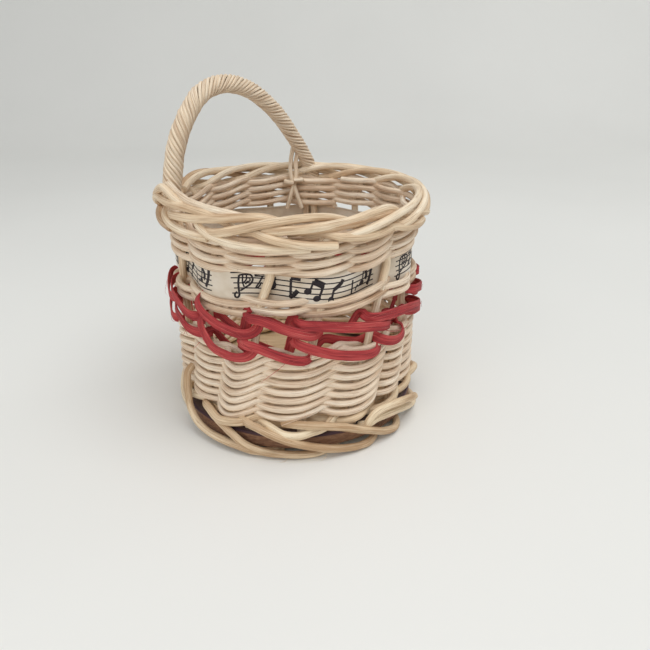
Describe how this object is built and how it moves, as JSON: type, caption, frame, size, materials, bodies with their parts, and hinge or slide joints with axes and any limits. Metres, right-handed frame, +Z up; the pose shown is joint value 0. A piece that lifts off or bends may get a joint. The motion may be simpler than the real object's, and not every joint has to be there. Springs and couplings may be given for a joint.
{
  "type": "wicker basket",
  "caption": "Small round open wicker basket with a wooden base, a roped side handle, a woven-in printed ribbon and two bands of flat red cane.",
  "frame": {"origin": "on the ground under the centre of the base board", "axes": "+Z up, -Y towards the front, where the ribbon's clef shows; the handle stands over the left and back"},
  "size_m": [0.115, 0.1152, 0.1442],
  "materials": {
    "base_wood": "bare brown wood with a dark top edge",
    "stake_cane": "natural round cane, satin",
    "weaver_cane": "natural round cane, matt",
    "foot_cane": "thick natural round cane, matt",
    "handle_cane": "natural round cane, satin",
    "red_cane": "dyed flat cane with split fibres, matt",
    "ribbon_satin": "ivory satin with a black printed pattern"
  },
  "bodies": {
    "root": {"base_board": "base_wood", "stake_01": "stake_cane", "stake_02": "stake_cane", "stake_03": "stake_cane", "stake_04": "stake_cane", "stake_05": "stake_cane", "stake_06": "stake_cane", "stake_07": "stake_cane", "stake_08": "stake_cane", "stake_09": "stake_cane", "stake_10": "stake_cane", "stake_11": "stake_cane", "stake_12": "stake_cane", "stake_13": "stake_cane", "stake_14": "stake_cane", "foot_strand_01": "foot_cane", "foot_strand_02": "foot_cane", "foot_strand_03": "foot_cane", "foot_strand_04": "foot_cane", "foot_strand_05": "foot_cane", "foot_strand_06": "foot_cane", "foot_strand_07": "foot_cane", "foot_strand_08": "foot_cane", "foot_strand_09": "foot_cane", "foot_strand_10": "foot_cane", "foot_strand_11": "foot_cane", "foot_strand_12": "foot_cane", "foot_strand_13": "foot_cane", "foot_strand_14": "foot_cane", "bottom_weaver_a": "foot_cane", "bottom_weaver_b": "foot_cane", "lower_weaver_a": "weaver_cane", "lower_weaver_b": "weaver_cane", "red_lower_a": "red_cane", "red_lower_b": "red_cane", "red_upper_a": "red_cane", "red_upper_b": "red_cane", "middle_weaver_a": "weaver_cane", "middle_weaver_b": "weaver_cane", "ribbon": "ribbon_satin", "upper_weaver_a": "weaver_cane", "upper_weaver_b": "weaver_cane", "handle_core": "handle_cane", "handle_strand_01": "handle_cane", "handle_strand_02": "handle_cane", "handle_strand_03": "handle_cane", "handle_strand_04": "handle_cane", "handle_strand_05": "handle_cane", "handle_tail_a": "handle_cane", "handle_tail_b": "handle_cane", "handle_tie": "handle_cane"}
  },
  "joints": []
}
